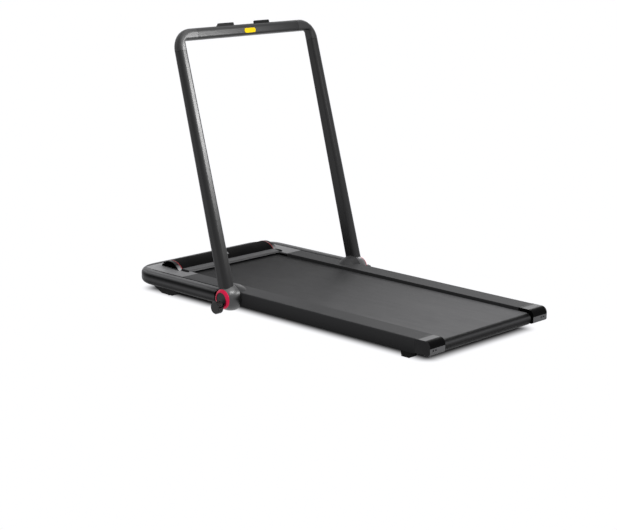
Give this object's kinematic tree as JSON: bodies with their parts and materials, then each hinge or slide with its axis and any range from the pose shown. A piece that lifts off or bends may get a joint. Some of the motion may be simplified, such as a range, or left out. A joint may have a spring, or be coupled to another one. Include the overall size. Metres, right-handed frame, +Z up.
{
  "type": "walking pad",
  "caption": "Slim motorised walking pad with a flat belt deck, a half-round motor cover at the front and a handrail that folds down around the deck.",
  "frame": {"origin": "on the floor, under the middle of the overall box with the handrail raised", "axes": "+X to the walker's right, +Y in the walking direction towards the motor cover, +Z up"},
  "size_m": [0.742, 1.322, 0.9132],
  "materials": {
    "belt_black": "fine woven texture",
    "rail_grey": "satin",
    "panel_grey": "satin",
    "hood_black": "fine grain",
    "gloss_black": "gloss",
    "cap_chrome": "black chrome",
    "trim_red": "gloss",
    "ring_crimson": "metallic",
    "sensor_grey": "gloss",
    "gunmetal": "satin",
    "bumper_gunmetal": "satin",
    "plastic_black": "matte",
    "knob_black": "fluted",
    "button_yellow": "gloss",
    "foot_rubber": "matte",
    "frame_black": "powder coat",
    "steel": "ground",
    "motor_grey": "cast",
    "deck_wood": "coated fibreboard",
    "bush_brass": "turned",
    "board_green": "lacquered"
  },
  "bodies": {
    "base": {"walking_belt": "belt_black", "side_rail_left": "rail_grey", "side_rail_right": "rail_grey", "front_panel": "panel_grey", "hood_skirt": "panel_grey", "hood": "hood_black", "hood_ends": "gloss_black", "sensor_window": "gloss_black", "rear_cap_left": "cap_chrome", "rear_cap_right": "cap_chrome", "hood_trims": "trim_red", "sensor_cover": "sensor_grey", "front_bumper": "bumper_gunmetal", "hinge_dome_left": "bumper_gunmetal", "hinge_dome_right": "bumper_gunmetal", "belly_pan": "plastic_black", "power_inlet": "plastic_black", "wheel_brackets": "plastic_black", "control_box": "plastic_black", "rear_feet": "foot_rubber", "deck_cushions": "foot_rubber", "drive_belt": "foot_rubber", "frame_beam_left": "frame_black", "frame_beam_right": "frame_black", "cross_members": "frame_black", "motor_cradle": "frame_black", "hinge_blocks": "frame_black", "front_axle": "steel", "rear_axle": "steel", "roller_bearings": "steel", "hinge_shafts": "steel", "tension_bolts": "steel", "wheel_axles": "steel", "motor_housing": "motor_grey", "deck_board": "deck_wood", "control_board": "board_green"},
    "front_roller": {"front_roller": "steel"},
    "rear_roller": {"rear_roller": "steel"},
    "motor_rotor": {"motor_rotor": "steel"},
    "wheel_left": {"wheel_left": "foot_rubber"},
    "wheel_right": {"wheel_right": "foot_rubber"},
    "power_rocker": {"power_rocker": "plastic_black"},
    "handrail": {"arm_left": "gunmetal", "arm_right": "gunmetal", "elbow_left": "bumper_gunmetal", "elbow_right": "bumper_gunmetal", "crossbar": "gunmetal", "hinge_barrel_left": "gunmetal", "hinge_barrel_right": "gunmetal", "hinge_bushes": "bush_brass", "hinge_caps": "plastic_black", "hinge_rings": "ring_crimson", "holder_tray": "plastic_black", "holder_pin": "steel"},
    "tab_left": {"tab_left": "plastic_black"},
    "tab_right": {"tab_right": "plastic_black"},
    "start_button": {"start_button": "button_yellow"},
    "knob_left": {"knob_left": "knob_black"},
    "knob_right": {"knob_right": "knob_black"}
  },
  "joints": [
    {"name": "handrail_fold", "type": "hinge", "parent": "base", "child": "handrail", "pos_m": [0, 0.183, 0.05], "axis": [1, 0, 0], "range_deg": [0, 105.7]},
    {"name": "knob_left_turn", "type": "hinge", "parent": "handrail", "child": "knob_left", "pos_m": [-0.35, 0.17705, 0.02882], "axis": [-1, 0, 0], "range_deg": [0, 720]},
    {"name": "knob_right_turn", "type": "hinge", "parent": "handrail", "child": "knob_right", "pos_m": [0.35, 0.17705, 0.02882], "axis": [1, 0, 0], "range_deg": [0, 720]},
    {"name": "tab_left_fold", "type": "hinge", "parent": "handrail", "child": "tab_left", "pos_m": [-0.09, 0.42849, 0.89822], "axis": [1, 0, 0], "range_deg": [0, 90]},
    {"name": "tab_right_fold", "type": "hinge", "parent": "handrail", "child": "tab_right", "pos_m": [0.085, 0.42849, 0.89822], "axis": [1, 0, 0], "range_deg": [0, 90]},
    {"name": "start_button_press", "type": "slide", "parent": "handrail", "child": "start_button", "axis": [0, 0.9627, -0.2706], "range_m": [0, 0.0015], "stiffness_N_per_m": 300, "springref_m": -0.001},
    {"name": "front_roller_spin", "type": "hinge", "parent": "base", "child": "front_roller", "pos_m": [0, 0.508, 0.0425], "axis": [1, 0, 0], "continuous": true},
    {"name": "rear_roller_spin", "type": "hinge", "parent": "base", "child": "rear_roller", "pos_m": [0, -0.6365, 0.0425], "axis": [1, 0, 0], "continuous": true},
    {"name": "motor_spin", "type": "hinge", "parent": "base", "child": "motor_rotor", "pos_m": [0.1, 0.56, 0.056], "axis": [1, 0, 0], "continuous": true},
    {"name": "wheel_left_spin", "type": "hinge", "parent": "base", "child": "wheel_left", "pos_m": [-0.293, 0.488, 0.012], "axis": [1, 0, 0], "continuous": true},
    {"name": "wheel_right_spin", "type": "hinge", "parent": "base", "child": "wheel_right", "pos_m": [0.293, 0.488, 0.012], "axis": [1, 0, 0], "continuous": true},
    {"name": "power_rocker_tilt", "type": "hinge", "parent": "base", "child": "power_rocker", "pos_m": [0.208, 0.651, 0.05], "axis": [1, 0, 0], "range_deg": [0, 12]}
  ],
  "couplings": [
    {"joint": "rear_roller_spin", "follows": "front_roller_spin", "ratio": 1},
    {"joint": "motor_spin", "follows": "front_roller_spin", "ratio": 1.9479}
  ]
}
